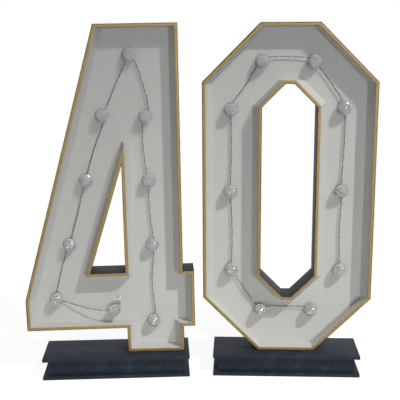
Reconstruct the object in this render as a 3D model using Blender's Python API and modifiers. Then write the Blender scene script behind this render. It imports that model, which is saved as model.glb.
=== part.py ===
"""Light-up number sign: a four and a zero, each a free-standing marquee digit.

Each digit is a deep tray of mitred boards on edge round a panel set back between
them, with ten lensed lights wired in one string on the panel and a battery case
behind it. It stands on a plinth of two boards with a block between them. The pair
is turned in a little, towards someone in front. Metres, +Z up, front towards -Y.
Each digit has its own frame: x runs along its face from its middle, y runs back
from its front edges, and z is the height above the floor.
"""

import math

import bmesh
import bpy
from mathutils import Matrix, Vector

# Clearance between pieces that touch, and how far a cutter runs past what it cuts
fit_gap = 0.0003
cut_overrun = 0.002

# Digits, four feet tall
digit_height = 1.200
digit_depth = 0.100
stroke_width = 0.211
board_thickness = 0.012
panel_setback = 0.050
panel_thickness = 0.009

# Zero: a narrow octagonal eye, with a stroke all round it
zero_eye_width = 0.194
zero_eye_flat = 0.0312

# Four: a stem on a foot, a beam to the left, a short arm to the right, a sloped stroke
four_foot_height = 0.096
four_beam_height = 0.214
four_beam_reach = 0.368
four_arm_reach = 0.041
four_beam_end_height = 0.118
four_top_width = 0.292
four_eye_width = 0.127
four_eye_height = 0.397

# Plinths
plinth_width = 0.541
plinth_depth = 0.181
plinth_board_thickness = 0.012
plinth_block_height = 0.057
plinth_block_inset = 0.019
plinth_front_margin = 0.052
four_plinth_margin = 0.016

# Stance of the pair: the four's foot is cut a little out of square, so it leans to the left
stance_gap = 0.0275
toe_in = math.radians(2.75)
four_lean = math.radians(0.6)

# Lights: a clear lens on a moulded socket, with the wire through the socket
lens_radius = 0.025
lens_height = 0.026
lens_skirt = 0.007
lens_foot_radius = 0.0215
lens_crown_radius = 0.013
lens_shoulder_radius = 0.0215
lens_steps = 20
socket_foot_radius = 0.011
socket_seat_radius = 0.016
socket_height = 0.013
socket_sides = 16
wire_diameter = 0.004
wire_height = 0.008
wire_exit = 0.030
zero_wire_bows = (
    (0.0000, -0.0030, 0.0022),
    (-0.0011, 0.0033, 0.0040),
    (0.0083, 0.0079, 0.0029),
    (0.0124, 0.0160, 0.0139),
    (0.0058, 0.0029, 0.0079),
    (0.0007, -0.0018, 0.0007),
    (-0.0007, -0.0044, -0.0015),
    (0.0023, 0.0038, 0.0045),
    (-0.0131, -0.0112, -0.0112),
)
four_wire_bows = (
    (-0.0040, -0.0125, -0.0073),
    (-0.0066, -0.0073, -0.0066),
    (0.0000, 0.0011, -0.0026),
    (0.0000, 0.0029, 0.0109),
    (0.0029, 0.0004, 0.0000),
    (-0.0146, -0.0203, -0.0192),
    (0.0119, 0.0140, 0.0065),
    (0.0040, 0.0037, -0.0044),
    (-0.0045, 0.0041, -0.0067),
)
wire_steps = 2
weld_distance = 0.00001
cable_hole_sides = 24

# Places of the zero's lights in the order of its wire: shares of the way from the digit's
# middle to the middle of its side stroke, and of the digit's height
zero_light_shares = (
    (0.963, 0.254),
    (0.958, 0.503),
    (0.968, 0.752),
    (0.430, 0.888),
    (-0.474, 0.889),
    (-1.012, 0.748),
    (-1.022, 0.500),
    (-1.007, 0.253),
    (-0.464, 0.122),
    (0.459, 0.123),
)
zero_cable_hole_radius = 0.005

# Places of the four's lights in the order of its wire: on the beam, shares of its reach and
# height; on the slope, of the digit's height; at the top, of the way to the slope's middle
# and of the height; on the stem, of its half width and of the height
four_loose_light_shares = (0.145, 0.336)
four_beam_end_light_share = 0.514
four_slope_light_shares = (0.343, 0.5425, 0.735)
four_top_light_shares = (0.62, 0.911)
four_stem_light_shares = ((-0.14, 0.731), (-0.09, 0.5375), (-0.04, 0.336), (-0.06, 0.092))
four_cable_hole_shares = (0.099, 0.472)
four_cable_hole_radius = 0.0135
four_plug_radius = 0.0103
four_plug_rise = 0.001
four_loose_light_lift = 0.012
four_loose_light_tilt = math.radians(35)
four_loose_light_turn = math.radians(50)

# Battery case, its sliding cover, the pack in it and its switch
cell_diameter = 0.0145
cell_length = 0.0505
cell_count = 3
sleeve_thickness = 0.0003
contact_space = 0.004
case_wall = 0.0025
case_groove = 0.0013
case_lip_width = 0.003
case_lip_thickness = 0.0015
case_bay_length = 0.011
case_edge_radius = 0.001
cover_thickness = 0.0018
knob_width = 0.005
knob_length = 0.005
knob_rise = 0.002
knob_depth = 0.004
switch_travel = 0.004
zero_case_shift = 0.010
four_case_shift = 0.185
lead_height = 0.007
lead_rise = 0.020

# Sizes that follow
seat_height = 2 * plinth_board_thickness + plinth_block_height + 3 * fit_gap
panel_back = panel_setback + panel_thickness
stem_half = stroke_width / 2
zero_width = zero_eye_width + 2 * stroke_width
zero_eye_height = digit_height - 2 * stroke_width
four_plinth_shift = plinth_width / 2 - stem_half - four_plinth_margin
stance_spacing = stem_half + four_arm_reach + stance_gap + zero_width / 2
eye_floor = four_foot_height + four_beam_height
pack_height = cell_count * cell_diameter + 2 * sleeve_thickness
pack_depth = cell_diameter + 2 * sleeve_thickness
pack_length = cell_length + 2 * sleeve_thickness
cavity_length = pack_length + contact_space
cavity_height = pack_height + 2 * fit_gap
cavity_depth = pack_depth + 2 * fit_gap
slot_height = cavity_height + 2 * case_groove
slot_depth = cover_thickness + 2 * fit_gap
slot_floor = case_wall + cavity_depth
mouth_height = slot_height - 2 * case_lip_width
mouth_floor = slot_floor + slot_depth
case_height = cavity_height + 2 * case_wall
case_depth = mouth_floor + case_lip_thickness
case_length = 3 * case_wall + case_bay_length + cavity_length
cavity_start = case_length / 2 - case_wall - cavity_length

UPRIGHT = Matrix.Rotation(math.radians(90), 4, "X")


def clear_scene():
    """Remove every object, so the model starts from an empty scene."""
    for thing in list(bpy.data.objects):
        bpy.data.objects.remove(thing, do_unlink=True)


def new_collection(name):
    """A collection of that name, linked to the scene."""
    group = bpy.data.collections.new(name)
    bpy.context.scene.collection.children.link(group)
    return group


def finish(name, colour, roughness, metallic=0.0):
    """A plain finish: base colour, roughness and metallic value."""
    material = bpy.data.materials.new(name)
    material.use_nodes = True
    shader = material.node_tree.nodes["Principled BSDF"]
    shader.inputs["Base Color"].default_value = (*colour, 1.0)
    shader.inputs["Roughness"].default_value = roughness
    shader.inputs["Metallic"].default_value = metallic
    return material


NAVY = ((0.021, 0.030, 0.045), 0.45)
GOLD = ((0.42, 0.25, 0.07), 0.4, 0.6)
WHITE = ((0.72, 0.72, 0.70), 0.6)
CLEAR = ((0.80, 0.81, 0.80), 0.15)
WIRE = ((0.55, 0.56, 0.55), 0.35, 0.4)
CASE_WHITE = ((0.75, 0.75, 0.72), 0.45)
SLEEVE_GREEN = ((0.05, 0.20, 0.10), 0.4)
KNOB_BLACK = ((0.02, 0.02, 0.02), 0.5)
PLUG_WOOD = ((0.50, 0.46, 0.34), 0.7)


def add(name, data, group, digit, look, place=None):
    """An object of the digit: its data, its finish and its place in the digit's frame."""
    thing = bpy.data.objects.new(name, data)
    group.objects.link(thing)
    thing.parent = digit
    thing.matrix_local = place or Matrix.Identity(4)
    data.materials.append(finish(name, *look))
    return thing


def cutter(name, mesh, group, digit, place=None):
    """A solid that only cuts or joins: drawn as wire and left out of renders."""
    thing = bpy.data.objects.new(name, mesh)
    group.objects.link(thing)
    thing.parent = digit
    thing.matrix_local = place or Matrix.Identity(4)
    thing.hide_render = True
    thing.display_type = "WIRE"
    return thing


def combine(thing, other, operation):
    """Cut other from thing, or join it to thing, by an exact Boolean."""
    modifier = thing.modifiers.new(other.name, "BOOLEAN")
    modifier.operation = operation
    modifier.solver = "EXACT"
    modifier.object = other


def box_mesh(name, low, high):
    """A box between two corners."""
    size = [b - a for a, b in zip(low, high)]
    middle = [(a + b) / 2 for a, b in zip(low, high)]
    mesh = bpy.data.meshes.new(name)
    shape = bmesh.new()
    bmesh.ops.create_cube(shape, size=1.0, matrix=Matrix.LocRotScale(Vector(middle), None, Vector(size)))
    shape.to_mesh(mesh)
    shape.free()
    return mesh


def move_edges(outline, inset):
    """The outline with each edge moved in by inset, or out where it is negative. Outlines run anticlockwise."""
    moved = []
    for k, corner in enumerate(outline):
        before = (corner - outline[k - 1]).normalized()
        after = (outline[(k + 1) % len(outline)] - corner).normalized()
        turn = before.x * after.y - before.y * after.x
        moved.append(corner + (after - before) * (inset / turn))
    return moved


def plate(name, outlines, thickness, front, group, digit, look):
    """A flat piece: outlines in the digit's face, filled between them, from front back by thickness."""
    curve = bpy.data.curves.new(name, "CURVE")
    curve.dimensions = "2D"
    curve.fill_mode = "BOTH"
    curve.extrude = thickness / 2
    curve.render_resolution_u = 0
    for outline in outlines:
        spline = curve.splines.new("POLY")
        spline.points.add(len(outline) - 1)
        for point, corner in zip(spline.points, outline):
            point.co = (corner.x, corner.y, 0, 1)
        spline.use_cyclic_u = True
    place = Matrix.Translation((0, front + thickness / 2, 0)) @ UPRIGHT
    return add(name, curve, group, digit, look, place)


def circle(centre, radius, sides):
    """A round outline of that many sides."""
    turns = [math.tau * k / sides for k in range(sides)]
    return [centre + Vector((math.cos(turn), math.sin(turn))) * radius for turn in turns]


def raised(points):
    """Outline points of a digit, lifted from its own foot to its seat on the plinth."""
    return [Vector((x, z + seat_height)) for x, z in points]


def zero_eye():
    """The zero's octagonal eye, anticlockwise from the right end of its level bottom edge."""
    side, end = zero_eye_width / 2, zero_eye_flat / 2
    floor, ceiling = stroke_width, stroke_width + zero_eye_height
    cut = side - end
    right = [(end, floor), (side, floor + cut), (side, ceiling - cut), (end, ceiling)]
    left = [(-x, z) for x, z in reversed(right)]
    return raised(right + left)


def zero_outline():
    """The zero's outline, a stroke outside its eye."""
    return move_edges(zero_eye(), -stroke_width)


def four_outline():
    """The four's outline, anticlockwise from the right end of its foot, which is cut to sit flat."""
    arm = stem_half + four_arm_reach
    beam = -stem_half - four_beam_reach
    level = seat_height / math.cos(four_lean) - seat_height
    slant = stem_half * math.tan(four_lean)
    return raised(
        [
            (stem_half, level - slant),
            (stem_half, four_foot_height),
            (arm, four_foot_height),
            (arm, eye_floor),
            (stem_half, eye_floor),
            (stem_half, digit_height),
            (stem_half - four_top_width, digit_height),
            (beam, four_foot_height + four_beam_end_height),
            (beam, four_foot_height),
            (-stem_half, four_foot_height),
            (-stem_half, level + slant),
        ]
    )


def four_eye():
    """The four's triangular eye, between its stem, its beam and its sloped stroke."""
    return raised(
        [
            (-stem_half - four_eye_width, eye_floor),
            (-stem_half, eye_floor),
            (-stem_half, eye_floor + four_eye_height),
        ]
    )


def board_outline(outline, k):
    """The board on edge k of an outline, mitred at both ends, with half the fit gap off each mitre."""
    inner = move_edges(outline, board_thickness)
    after = (k + 1) % len(outline)
    start, end = outline[k], outline[after]
    along = (end - start).normalized()
    start_trim = along * (fit_gap / 2 * (inner[k] - start).length / board_thickness)
    end_trim = along * (fit_gap / 2 * (inner[after] - end).length / board_thickness)
    return [start + start_trim, end - end_trim, inner[after] - end_trim, inner[k] + start_trim]


def tray(digit_name, outline, eye, board_names, cable_holes, group, digit):
    """The digit's boards round its outline, the frame round its eye, and the panel between them."""
    for k, board_name in enumerate(board_names):
        name = f"{digit_name}_{board_name}_board"
        plate(name, [board_outline(outline, k)], digit_depth, 0, group, digit, NAVY)
    eye_ring = [move_edges(eye, -board_thickness), eye]
    plate(f"{digit_name}_eye_frame", eye_ring, digit_depth, 0, group, digit, NAVY)
    reach = board_thickness + fit_gap
    edges = [move_edges(outline, reach), move_edges(eye, -reach), *cable_holes]
    plate(f"{digit_name}_panel", edges, panel_thickness, panel_setback, group, digit, WHITE)


def plinth(digit_name, shift, group, digit):
    """Two boards with a block between them, all on one middle, shift to the left of the digit's."""
    left, right = -shift - plinth_width / 2, -shift + plinth_width / 2
    front, back = -plinth_front_margin, plinth_depth - plinth_front_margin
    inset = plinth_block_inset
    block_floor = plinth_board_thickness + fit_gap
    block_top = block_floor + plinth_block_height
    base = box_mesh("plinth_base", (left, front, 0), (right, back, plinth_board_thickness))
    block_low = (left + inset, front + inset, block_floor)
    block_high = (right - inset, back - inset, block_top)
    top_low = (left, front, block_top + fit_gap)
    top_high = (right, back, block_top + fit_gap + plinth_board_thickness)
    add(f"{digit_name}_plinth_base", base, group, digit, NAVY)
    add(f"{digit_name}_plinth_block", box_mesh("plinth_block", block_low, block_high), group, digit, NAVY)
    add(f"{digit_name}_plinth_top", box_mesh("plinth_top", top_low, top_high), group, digit, NAVY)


def light_place(x, height, lift=0.0):
    """The frame of a light: its origin lift off the panel, its z axis towards the front."""
    return Matrix.Translation((x, panel_setback - lift, height + seat_height)) @ UPRIGHT


def zero_lights():
    """The zero's light frames, in the order of its wire: up the right side, over, and down to the bottom."""
    side = zero_width / 2 - stem_half
    return [light_place(side * across, digit_height * up) for across, up in zero_light_shares]


def slope_middle(height):
    """The middle line of the four's sloped stroke at a height above its foot."""
    low = four_foot_height + four_beam_end_height
    lean = (four_beam_reach + stroke_width - four_top_width) / (digit_height - low)
    half = stem_half * math.hypot(1, lean)
    return -stem_half - four_beam_reach + lean * max(height - low, 0) + half


def beam_spot(shares):
    """A spot on the four's beam, as shares of the beam's reach to the left and of its height."""
    left, up = shares
    return -stem_half - four_beam_reach * left, four_foot_height + four_beam_height * up


def four_loose_light():
    """The four's first light, which hangs forward off the panel and leans down to the right."""
    lean_axis = Matrix.Rotation(four_loose_light_turn, 3, "Y") @ Vector((0, 0, 1))
    lean = Matrix.Rotation(four_loose_light_tilt, 4, lean_axis)
    foot = light_place(*beam_spot(four_loose_light_shares), four_loose_light_lift)
    spot = foot.to_translation()
    return Matrix.Translation(spot) @ lean @ Matrix.Translation(-spot) @ foot


def four_lights():
    """The four's light frames, in the order of its wire: from the beam up the slope and down the stem."""
    beam_light = four_foot_height + four_beam_height * four_beam_end_light_share
    heights = [beam_light] + [digit_height * share for share in four_slope_light_shares]
    spots = [(slope_middle(height), height) for height in heights]
    across, up = four_top_light_shares
    top = digit_height * up
    spots.append((slope_middle(top) * across, top))
    spots += [(stem_half * across, digit_height * up) for across, up in four_stem_light_shares]
    return [four_loose_light()] + [light_place(x, height) for x, height in spots]


def lens_mesh():
    """The half profile of a lens: its crown, shoulder, skirt and flat back, from the front down."""
    shoulder = (lens_height + lens_skirt) / 2 + lens_skirt / 2
    points = [
        (0, lens_height),
        (lens_crown_radius, lens_height - lens_skirt / 4),
        (lens_shoulder_radius, shoulder),
        (lens_radius, lens_skirt),
        (lens_radius, lens_skirt / 2),
        (lens_foot_radius, 0),
        (0, 0),
    ]
    mesh = bpy.data.meshes.new("lens")
    edges = [(k, k + 1) for k in range(len(points) - 1)]
    mesh.from_pydata([(radius, 0, height) for radius, height in points], edges, [])
    return mesh


def lens(name, place, group, digit):
    """A turned lens that sits on its socket."""
    seat = Matrix.Translation((0, 0, socket_height + 2 * fit_gap))
    thing = add(name, lens_mesh(), group, digit, CLEAR, place @ seat)
    turn = thing.modifiers.new("turn", "SCREW")
    turn.angle = math.tau
    turn.steps = lens_steps
    turn.render_steps = lens_steps
    turn.use_merge_vertices = True
    turn.merge_threshold = weld_distance
    turn.use_smooth_shade = False


def smooth_route(points, steps):
    """A smooth curve through the points, read at that many places along each of its stretches."""
    route = []
    for k in range(len(points) - 1):
        before = points[max(k - 1, 0)]
        start, end = points[k], points[k + 1]
        after = points[min(k + 2, len(points) - 1)]
        for step in range(steps):
            t = step / steps
            bend = (2 * before - 5 * start + 4 * end - after) * t**2 + (3 * (start - end) + after - before) * t**3
            route.append(start + ((end - before) * t + bend) / 2)
    return route + [points[-1]]


def inside(place):
    """Where the wire runs inside a light's socket."""
    return place @ Vector((0, 0, wire_height))


def beside(place, goal):
    """Where the wire comes clear of a light's lens on its way to a goal."""
    way = place.inverted() @ goal
    way.z = 0
    return place @ (way.normalized() * wire_exit + Vector((0, 0, wire_height)))


def string_route(lights, bows):
    """The wire's points from light to light, moved aside by the bows where it leaves, midway and where it enters."""
    points = []
    for start, end, shifts in zip(lights, lights[1:], bows):
        leaves, enters = beside(start, inside(end)), beside(end, inside(start))
        run = (inside(end) - inside(start)).normalized()
        aside = Vector((run.z, 0, -run.x))
        stretch = (leaves, (leaves + enters) / 2, enters)
        points += [inside(start)] + [spot + aside * shift for spot, shift in zip(stretch, shifts)]
    return points + [inside(lights[-1])]


def light_string(digit_name, lights, route, group, cutters, digit):
    """The wire through all the sockets: one tube, with the moulded sockets joined to it."""
    curve = bpy.data.curves.new("wire", "CURVE")
    curve.dimensions = "3D"
    curve.bevel_depth = wire_diameter / 2
    curve.bevel_resolution = 2
    curve.use_fill_caps = True
    curve.render_resolution_u = 0
    spline = curve.splines.new("POLY")
    spline.points.add(len(route) - 1)
    for point, spot in zip(spline.points, route):
        point.co = (*spot, 1)
    guide = cutter("wire_guide", curve, cutters, digit)
    bpy.context.view_layer.update()
    seen = guide.evaluated_get(bpy.context.evaluated_depsgraph_get())
    mesh = bpy.data.meshes.new_from_object(seen)
    bpy.data.objects.remove(guide, do_unlink=True)
    shape = bmesh.new()
    shape.from_mesh(mesh)
    bmesh.ops.remove_doubles(shape, verts=shape.verts, dist=weld_distance)
    shape.to_mesh(mesh)
    shape.clear()
    middle = Matrix.Translation((0, 0, fit_gap + socket_height / 2))
    for place in lights:
        bmesh.ops.create_cone(
            shape,
            cap_ends=True,
            segments=socket_sides,
            radius1=socket_foot_radius,
            radius2=socket_seat_radius,
            depth=socket_height,
            matrix=place @ middle,
        )
    sockets = bpy.data.meshes.new("sockets")
    shape.to_mesh(sockets)
    shape.free()
    string = add(f"{digit_name}_light_string", mesh, group, digit, WIRE)
    combine(string, cutter(f"{digit_name}_sockets", sockets, cutters, digit), "UNION")


def battery_case(digit_name, place, group, cutters, digit):
    """An open-backed case with a slot for its cover, a cavity for the pack and a bay for the switch."""
    half = Vector((case_length / 2, 0, case_height / 2))
    shell = box_mesh("case", (-half.x, 0, -half.z), (half.x, case_depth, half.z))
    case = add(f"{digit_name}_battery_case", shell, group, digit, CASE_WHITE, place)
    edges = case.modifiers.new("edges", "BEVEL")
    edges.width = case_edge_radius
    edges.segments = 2
    past = half.x + cut_overrun
    above = case_depth + cut_overrun
    pocket_x = -half.x + case_wall + case_bay_length / 2
    pocket_half = (knob_width / 2 + fit_gap, (knob_length + switch_travel) / 2 + fit_gap)
    cavity_end = cavity_start + cavity_length
    slot_middle = (slot_floor + mouth_floor) / 2
    cuts = {
        "cavity": ((cavity_start, case_wall, -cavity_height / 2), (cavity_end, slot_middle, cavity_height / 2)),
        "slot": ((cavity_start, slot_floor, -slot_height / 2), (past, mouth_floor, slot_height / 2)),
        "mouth": ((cavity_start, slot_middle, -mouth_height / 2), (past, above, mouth_height / 2)),
        "pocket": (
            (pocket_x - pocket_half[0], case_depth - knob_depth, -pocket_half[1]),
            (pocket_x + pocket_half[0], above, pocket_half[1]),
        ),
    }
    for cut_name, (low, high) in cuts.items():
        mesh = box_mesh(cut_name, low, high)
        combine(case, cutter(f"{digit_name}_case_{cut_name}", mesh, cutters, digit, place), "DIFFERENCE")
    return pocket_x


def battery_cover(digit_name, place, group, digit):
    """The cover: a plate that runs in the slot, with a raised middle that fills the mouth."""
    wide, narrow = slot_height / 2 - fit_gap, mouth_height / 2 - fit_gap
    under, over = slot_floor + fit_gap, slot_floor + fit_gap + cover_thickness
    right = [(wide, under), (wide, over), (narrow, over), (narrow, case_depth)]
    section = right + [(-z, y) for z, y in reversed(right)]
    start, end = cavity_start + fit_gap, case_length / 2
    curve = bpy.data.curves.new("cover", "CURVE")
    curve.dimensions = "2D"
    curve.fill_mode = "BOTH"
    curve.extrude = (end - start) / 2
    curve.render_resolution_u = 0
    spline = curve.splines.new("POLY")
    spline.points.add(len(section) - 1)
    for point, (z, y) in zip(spline.points, section):
        point.co = (y, z, 0, 1)
    spline.use_cyclic_u = True
    axes = Matrix(((0, 0, 1, 0), (1, 0, 0, 0), (0, 1, 0, 0), (0, 0, 0, 1)))
    middle = Matrix.Translation(((start + end) / 2, 0, 0))
    add(f"{digit_name}_battery_cover", curve, group, digit, CASE_WHITE, place @ middle @ axes)


def battery_pack(digit_name, place, group, digit):
    """Three cells side by side in one shrunk sleeve."""
    radius = cell_diameter / 2 + sleeve_thickness
    middle = case_wall + fit_gap + radius
    reach = (cell_count - 1) * cell_diameter / 2
    sides = socket_sides // 2
    turns = [math.pi * k / sides for k in range(sides + 1)]
    top = [(radius * math.cos(turn), reach + radius * math.sin(turn)) for turn in turns]
    outline = top + [(-y, -z) for y, z in top]
    curve = bpy.data.curves.new("pack", "CURVE")
    curve.dimensions = "2D"
    curve.fill_mode = "BOTH"
    curve.extrude = pack_length / 2
    curve.render_resolution_u = 0
    spline = curve.splines.new("POLY")
    spline.points.add(len(outline) - 1)
    for point, (y, z) in zip(spline.points, outline):
        point.co = (y, z, 0, 1)
    spline.use_cyclic_u = True
    axes = Matrix(((0, 0, 1, 0), (1, 0, 0, 0), (0, 1, 0, 0), (0, 0, 0, 1)))
    spot = Matrix.Translation((cavity_start + fit_gap + pack_length / 2, middle, 0))
    add(f"{digit_name}_battery_pack", curve, group, digit, SLEEVE_GREEN, place @ spot @ axes)


def switch_knob(digit_name, place, pocket_x, group, digit):
    """The switch's knob, at the off end of its slot."""
    low_z = -(knob_length + switch_travel) / 2
    low = (pocket_x - knob_width / 2, case_depth - knob_depth + fit_gap, low_z)
    high = (pocket_x + knob_width / 2, case_depth + knob_rise, low_z + knob_length)
    add(f"{digit_name}_switch_knob", box_mesh("knob", low, high), group, digit, KNOB_BLACK, place)


def power(digit_name, x, height, group, cutters, digit):
    """The battery case and what is in it, on the back of the panel at that middle."""
    place = Matrix.Translation((x, panel_back + fit_gap, height + seat_height))
    pocket_x = battery_case(digit_name, place, group, cutters, digit)
    battery_cover(digit_name, place, group, digit)
    battery_pack(digit_name, place, group, digit)
    switch_knob(digit_name, place, pocket_x, group, digit)


def lead(hole, x, height):
    """The wire's way straight through the panel at a spot, and behind it down to the case's top."""
    back = panel_back + lead_height
    case_top = height + seat_height + case_height / 2
    crossing = hole.y + lead_rise
    depths = (panel_setback - wire_diameter, panel_setback, panel_back, panel_back + wire_diameter)
    return [Vector((hole.x, depth, hole.y)) for depth in depths] + [
        Vector((hole.x - lead_height, back, hole.y + lead_height)),
        Vector(((hole.x + x) / 2, back, crossing)),
        Vector((x + lead_rise / 2, back, crossing)),
        Vector((x, back, (case_top + crossing) / 2)),
        Vector((x, back, case_top + fit_gap)),
    ]


def make_zero(group, cutters, digit):
    """The zero: its plinth, tray, lights and battery case."""
    outline = zero_outline()
    eye = zero_eye()
    lights = zero_lights()
    last = lights[-1].to_translation()
    hole = Vector((last.x, last.z))
    names = ("lower_right", "right", "upper_right", "top", "upper_left", "left", "lower_left", "bottom")
    cable_hole = circle(hole, zero_cable_hole_radius, cable_hole_sides)
    tray("zero", outline, eye, names, [cable_hole], group, digit)
    plinth("zero", 0, group, digit)
    case_height_on_digit = stem_half
    string = smooth_route(string_route(lights, zero_wire_bows), wire_steps)
    way_out = [string[-1]] + lead(hole, -zero_case_shift, case_height_on_digit)
    light_string("zero", lights, string[:-1] + smooth_route(way_out, wire_steps), group, cutters, digit)
    for k, place in enumerate(lights):
        lens(f"zero_lens_{k + 1:02d}", place, group, digit)
    power("zero", -zero_case_shift, case_height_on_digit, group, cutters, digit)


def make_four(group, cutters, stand, digit):
    """The four: its plinth on its stand, and its tray, lights and battery case on the leaning digit."""
    outline = four_outline()
    eye = four_eye()
    lights = four_lights()
    hole_x, hole_height = beam_spot(four_cable_hole_shares)
    hole = Vector((hole_x, hole_height + seat_height))
    names = (
        "foot_right",
        "arm_bottom",
        "arm_end",
        "arm_top",
        "right",
        "top",
        "slope",
        "beam_end",
        "beam_bottom",
        "foot_left",
        "foot_bottom",
    )
    cable_hole = circle(hole, four_cable_hole_radius, cable_hole_sides)
    tray("four", outline, eye, names, [cable_hole], group, digit)
    plinth("four", four_plinth_shift, group, stand)
    case_x = -stem_half - four_case_shift
    case_height_on_digit = four_foot_height + stem_half / 2
    spare = four_cable_hole_radius - four_plug_radius
    plug = circle(hole + Vector((0, spare - fit_gap)), four_plug_radius, cable_hole_sides)
    plug_depth = panel_thickness + four_plug_rise
    plate("four_cable_plug", [plug], plug_depth, panel_setback - four_plug_rise, group, digit, PLUG_WOOD)
    below_plug = hole - Vector((0, four_cable_hole_radius - spare + fit_gap / 2))
    way_out = lead(below_plug, case_x, case_height_on_digit)
    above_lens = beside(lights[0], way_out[0])
    route = way_out[::-1] + [above_lens] + string_route(lights, four_wire_bows)
    light_string("four", lights, smooth_route(route, wire_steps), group, cutters, digit)
    for k, place in enumerate(lights):
        lens(f"four_lens_{k + 1:02d}", place, group, digit)
    power("four", case_x, case_height_on_digit, group, cutters, digit)


def reach_of(outline, plinth_shift, turn, lean):
    """The corners of a digit and its plinth about the digit's own origin, once turned and leaning."""
    stand = Matrix.Rotation(turn, 4, "Z")
    digit = stand @ Matrix.Rotation(-lean, 4, "Y")
    corners = [digit @ Vector((spot.x, y, spot.y)) for spot in outline for y in (0, digit_depth)]
    sides = (-plinth_shift - plinth_width / 2, -plinth_shift + plinth_width / 2)
    ends = (-plinth_front_margin, plinth_depth - plinth_front_margin)
    return corners + [stand @ Vector((x, y, 0)) for x in sides for y in ends]


def stance():
    """Where each digit's origin stands, so that the middle of the pair's plan is the model's origin."""
    spacing = Vector((stance_spacing, 0, 0))
    corners = reach_of(four_outline(), four_plinth_shift, toe_in, four_lean)
    corners += [corner + spacing for corner in reach_of(zero_outline(), 0, -toe_in, 0)]
    low = Vector([min(corner[k] for corner in corners) for k in range(2)])
    high = Vector([max(corner[k] for corner in corners) for k in range(2)])
    four_spot = -((low + high) / 2).to_3d()
    return four_spot, four_spot + spacing


def frame_of(name, spot, turn, group, lean=0.0, parent=None):
    """An empty that carries a digit or its plinth: where it stands, its turn in and its lean."""
    frame = bpy.data.objects.new(name, None)
    group.objects.link(frame)
    frame.parent = parent
    frame.location = spot
    frame.rotation_euler = (0, -lean, turn)
    return frame


def main():
    clear_scene()
    group = new_collection("number_sign")
    cutters = new_collection("cutters")
    four_spot, zero_spot = stance()
    four_place = frame_of("four_place", four_spot, toe_in, group)
    four_digit = frame_of("four_digit", (0, 0, 0), 0, group, four_lean, four_place)
    zero_place = frame_of("zero_place", zero_spot, -toe_in, group)
    make_four(group, cutters, four_place, four_digit)
    make_zero(group, cutters, zero_place)


main()
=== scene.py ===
"""Looks of the light-up number sign: a four and a zero, painted boards with lensed lights.

Metres, +Z up, front towards -Y. Each digit has its own frame, as in its source: x runs along
its face from its middle, y runs back from its front edges, z is the height above the floor.
Shapes are worked out there and then placed, so that every finished mesh holds its own place.
"""

import math

import bmesh
import bpy
import numpy as np
from mathutils import Matrix, Vector


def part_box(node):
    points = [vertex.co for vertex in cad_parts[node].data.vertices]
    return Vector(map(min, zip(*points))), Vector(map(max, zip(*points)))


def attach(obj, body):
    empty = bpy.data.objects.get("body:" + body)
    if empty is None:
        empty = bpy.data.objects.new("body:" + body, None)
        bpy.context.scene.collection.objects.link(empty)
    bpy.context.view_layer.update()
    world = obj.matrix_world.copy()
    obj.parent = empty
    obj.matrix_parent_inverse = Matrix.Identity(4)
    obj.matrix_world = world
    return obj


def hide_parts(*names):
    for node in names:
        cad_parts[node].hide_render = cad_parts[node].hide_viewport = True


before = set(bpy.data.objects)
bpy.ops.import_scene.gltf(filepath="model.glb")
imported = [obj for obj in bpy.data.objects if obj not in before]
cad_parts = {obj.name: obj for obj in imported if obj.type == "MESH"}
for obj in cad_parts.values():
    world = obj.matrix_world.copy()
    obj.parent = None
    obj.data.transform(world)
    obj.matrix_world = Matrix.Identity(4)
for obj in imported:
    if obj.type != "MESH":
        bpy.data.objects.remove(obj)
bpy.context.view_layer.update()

# Sizes of the digits, as built
digit_height = 1.200
digit_depth = 0.100
stroke_width = 0.211
board_thickness = 0.012
panel_setback = 0.050
panel_thickness = 0.009
fit_gap = 0.0003
zero_eye_width = 0.194
zero_eye_flat = 0.0312
four_foot_height = 0.096
four_beam_height = 0.214
four_beam_reach = 0.368
four_arm_reach = 0.041
four_beam_end_height = 0.118
four_top_width = 0.292
four_eye_width = 0.127
four_eye_height = 0.397
plinth_width = 0.541
plinth_depth = 0.181
plinth_front_margin = 0.052
plinth_board_thickness = 0.012
plinth_block_height = 0.057
plinth_block_inset = 0.019
four_plinth_margin = 0.016
toe_in = math.radians(2.75)
four_lean = math.radians(0.6)

# Sizes of the lights and their cord, as built
lens_radius = 0.025
lens_height = 0.026
socket_height = 0.013
wire_diameter = 0.004
wire_height = 0.008
wire_exit = 0.030
zero_wire_bows = (
    (0.0000, -0.0030, 0.0022),
    (-0.0011, 0.0033, 0.0040),
    (0.0083, 0.0079, 0.0029),
    (0.0124, 0.0160, 0.0139),
    (0.0058, 0.0029, 0.0079),
    (0.0007, -0.0018, 0.0007),
    (-0.0007, -0.0044, -0.0015),
    (0.0023, 0.0038, 0.0045),
    (-0.0131, -0.0112, -0.0112),
)
four_wire_bows = (
    (-0.0040, -0.0125, -0.0073),
    (-0.0066, -0.0073, -0.0066),
    (0.0000, 0.0011, -0.0026),
    (0.0000, 0.0029, 0.0109),
    (0.0029, 0.0004, 0.0000),
    (-0.0146, -0.0203, -0.0192),
    (0.0119, 0.0140, 0.0065),
    (0.0040, 0.0037, -0.0044),
    (-0.0045, 0.0041, -0.0067),
)
zero_light_shares = (
    (0.963, 0.254),
    (0.958, 0.503),
    (0.968, 0.752),
    (0.430, 0.888),
    (-0.474, 0.889),
    (-1.012, 0.748),
    (-1.022, 0.500),
    (-1.007, 0.253),
    (-0.464, 0.122),
    (0.459, 0.123),
)
four_loose_light_shares = (0.145, 0.336)
four_beam_end_light_share = 0.514
four_slope_light_shares = (0.343, 0.5425, 0.735)
four_top_light_shares = (0.62, 0.911)
four_stem_light_shares = ((-0.14, 0.731), (-0.09, 0.5375), (-0.04, 0.336), (-0.06, 0.092))
four_cable_hole_shares = (0.099, 0.472)
four_cable_hole_radius = 0.0135
four_plug_radius = 0.0103
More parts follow.
